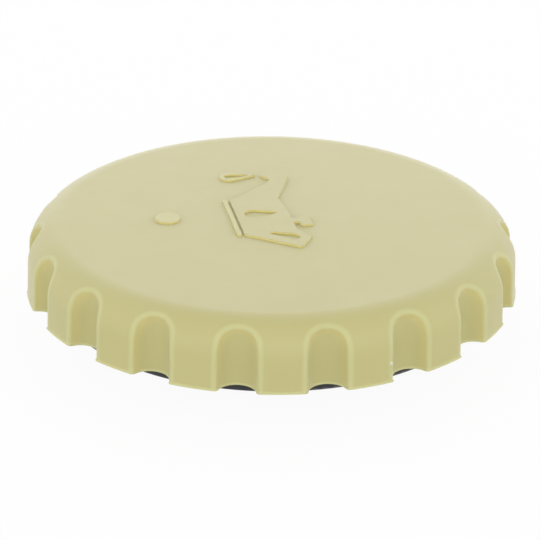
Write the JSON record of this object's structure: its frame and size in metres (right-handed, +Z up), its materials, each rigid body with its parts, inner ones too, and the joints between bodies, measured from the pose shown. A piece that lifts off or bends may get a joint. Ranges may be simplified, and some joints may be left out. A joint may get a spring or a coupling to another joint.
{
  "type": "oil filler cap",
  "caption": "Round quarter-turn oil filler cap: fluted cream grip cover over a black bayonet closure body with a rubber sealing ring.",
  "frame": {"origin": "middle of the neck's end face, on which the cap stands", "axes": "+Z up the cap's axis towards the top of the cover, -Y is the front"},
  "size_m": [0.09, 0.09, 0.0214],
  "materials": {
    "cover": "fine matte moulding",
    "body": "satin moulding",
    "seal": "matte rubber"
  },
  "bodies": {
    "root": {"grip_cover": "cover", "closure_body": "body", "sealing_ring": "seal"}
  },
  "joints": []
}
